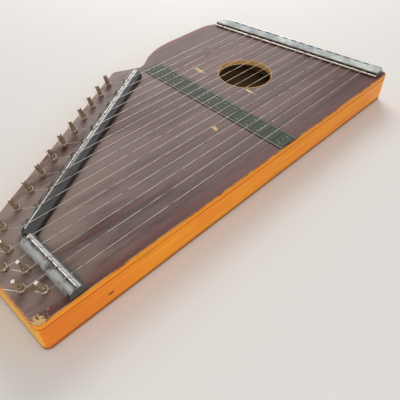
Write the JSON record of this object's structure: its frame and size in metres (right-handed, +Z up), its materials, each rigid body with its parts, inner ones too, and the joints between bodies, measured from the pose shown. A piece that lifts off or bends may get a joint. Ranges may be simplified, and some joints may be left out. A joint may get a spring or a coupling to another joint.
{
  "type": "zither",
  "caption": "Board zither with a dark stained top, orange sides, a round sound hole, black bridges, plain steel strings on tuning pins and a metal hitch cover",
  "frame": {"origin": "under the back board, in the middle of its outline's box", "axes": "+X to the long straight side, +Y along the strings to the hitch end, +Z up out of the soundboard"},
  "size_m": [0.242, 0.4792, 0.0515],
  "materials": {
    "stained_top": "dark red-brown stain, thin worn varnish, dusty",
    "varnished_wood": "glossy orange varnish",
    "bare_wood": "unfinished softwood",
    "black_lacquer": "glossy black lacquer",
    "printed_paper": "printed and varnished",
    "tinned_sheet": "tinned sheet, dulled",
    "rusty_steel": "lightly rusted steel with bright tops",
    "steel_wire": "drawn steel wire"
  },
  "bodies": {
    "zither_body": {"back_board": "bare_wood", "back_brace_1": "bare_wood", "back_brace_2": "bare_wood", "cover_nail_1": "steel_wire", "cover_nail_2": "steel_wire", "cover_nail_3": "steel_wire", "cover_nail_4": "steel_wire", "cover_nail_5": "steel_wire", "cover_strip": "tinned_sheet", "hitch_block": "varnished_wood", "long_bridge": "black_lacquer", "note_strip": "printed_paper", "pin_block": "varnished_wood", "saddle_wire_end": "steel_wire", "saddle_wire_long": "steel_wire", "saddle_wire_short": "steel_wire", "short_bridge": "black_lacquer", "side_rail_long": "varnished_wood", "side_rail_shoulder": "varnished_wood", "soundboard": "stained_top", "soundboard_brace_1": "bare_wood", "soundboard_brace_2": "bare_wood", "soundboard_brace_3": "bare_wood", "string_01": "steel_wire", "string_02": "steel_wire", "string_03": "steel_wire", "string_04": "steel_wire", "string_05": "steel_wire", "string_06": "steel_wire", "string_07": "steel_wire", "string_08": "steel_wire", "string_09": "steel_wire", "string_10": "steel_wire", "string_11": "steel_wire", "string_12": "steel_wire", "string_13": "steel_wire", "string_14": "steel_wire", "string_15": "steel_wire", "string_16": "steel_wire"},
    "tuning_pin_01": {"tuning_pin_01": "rusty_steel"},
    "tuning_pin_02": {"tuning_pin_02": "rusty_steel"},
    "tuning_pin_03": {"tuning_pin_03": "rusty_steel"},
    "tuning_pin_04": {"tuning_pin_04": "rusty_steel"},
    "tuning_pin_05": {"tuning_pin_05": "rusty_steel"},
    "tuning_pin_06": {"tuning_pin_06": "rusty_steel"},
    "tuning_pin_07": {"tuning_pin_07": "rusty_steel"},
    "tuning_pin_08": {"tuning_pin_08": "rusty_steel"},
    "tuning_pin_09": {"tuning_pin_09": "rusty_steel"},
    "tuning_pin_10": {"tuning_pin_10": "rusty_steel"},
    "tuning_pin_11": {"tuning_pin_11": "rusty_steel"},
    "tuning_pin_12": {"tuning_pin_12": "rusty_steel"},
    "tuning_pin_13": {"tuning_pin_13": "rusty_steel"},
    "tuning_pin_14": {"tuning_pin_14": "rusty_steel"},
    "tuning_pin_15": {"tuning_pin_15": "rusty_steel"},
    "tuning_pin_16": {"tuning_pin_16": "rusty_steel"}
  },
  "joints": [
    {"name": "tuning_pin_01_turn", "type": "hinge", "parent": "zither_body", "child": "tuning_pin_01", "pos_m": [0.1, -0.21756, 0.035], "axis": [0, -0.2588, 0.9659], "continuous": true},
    {"name": "tuning_pin_02_turn", "type": "hinge", "parent": "zither_body", "child": "tuning_pin_02", "pos_m": [0.0875, -0.22856, 0.035], "axis": [0, -0.2588, 0.9659], "continuous": true},
    {"name": "tuning_pin_03_turn", "type": "hinge", "parent": "zither_body", "child": "tuning_pin_03", "pos_m": [0.0745, -0.21756, 0.035], "axis": [0, -0.2588, 0.9659], "continuous": true},
    {"name": "tuning_pin_04_turn", "type": "hinge", "parent": "zither_body", "child": "tuning_pin_04", "pos_m": [0.061, -0.22856, 0.035], "axis": [0, -0.2588, 0.9659], "continuous": true},
    {"name": "tuning_pin_05_turn", "type": "hinge", "parent": "zither_body", "child": "tuning_pin_05", "pos_m": [0.048, -0.21756, 0.035], "axis": [0, -0.2588, 0.9659], "continuous": true},
    {"name": "tuning_pin_06_turn", "type": "hinge", "parent": "zither_body", "child": "tuning_pin_06", "pos_m": [0.02379, -0.20876, 0.035], "axis": [0, -0.2588, 0.9659], "continuous": true},
    {"name": "tuning_pin_07_turn", "type": "hinge", "parent": "zither_body", "child": "tuning_pin_07", "pos_m": [0.01247, -0.18947, 0.035], "axis": [0, -0.2588, 0.9659], "continuous": true},
    {"name": "tuning_pin_08_turn", "type": "hinge", "parent": "zither_body", "child": "tuning_pin_08", "pos_m": [0.00114, -0.17017, 0.035], "axis": [0, -0.2588, 0.9659], "continuous": true},
    {"name": "tuning_pin_09_turn", "type": "hinge", "parent": "zither_body", "child": "tuning_pin_09", "pos_m": [-0.01018, -0.15088, 0.035], "axis": [0, -0.2588, 0.9659], "continuous": true},
    {"name": "tuning_pin_10_turn", "type": "hinge", "parent": "zither_body", "child": "tuning_pin_10", "pos_m": [-0.0215, -0.13158, 0.035], "axis": [0, -0.2588, 0.9659], "continuous": true},
    {"name": "tuning_pin_11_turn", "type": "hinge", "parent": "zither_body", "child": "tuning_pin_11", "pos_m": [-0.03281, -0.11229, 0.035], "axis": [0, -0.2588, 0.9659], "continuous": true},
    {"name": "tuning_pin_12_turn", "type": "hinge", "parent": "zither_body", "child": "tuning_pin_12", "pos_m": [-0.04414, -0.09299, 0.035], "axis": [0, -0.2588, 0.9659], "continuous": true},
    {"name": "tuning_pin_13_turn", "type": "hinge", "parent": "zither_body", "child": "tuning_pin_13", "pos_m": [-0.05545, -0.0737, 0.035], "axis": [0, -0.2588, 0.9659], "continuous": true},
    {"name": "tuning_pin_14_turn", "type": "hinge", "parent": "zither_body", "child": "tuning_pin_14", "pos_m": [-0.06678, -0.05441, 0.035], "axis": [0, -0.2588, 0.9659], "continuous": true},
    {"name": "tuning_pin_15_turn", "type": "hinge", "parent": "zither_body", "child": "tuning_pin_15", "pos_m": [-0.07809, -0.03511, 0.035], "axis": [0, -0.2588, 0.9659], "continuous": true},
    {"name": "tuning_pin_16_turn", "type": "hinge", "parent": "zither_body", "child": "tuning_pin_16", "pos_m": [-0.08941, -0.01582, 0.035], "axis": [0, -0.2588, 0.9659], "continuous": true}
  ]
}
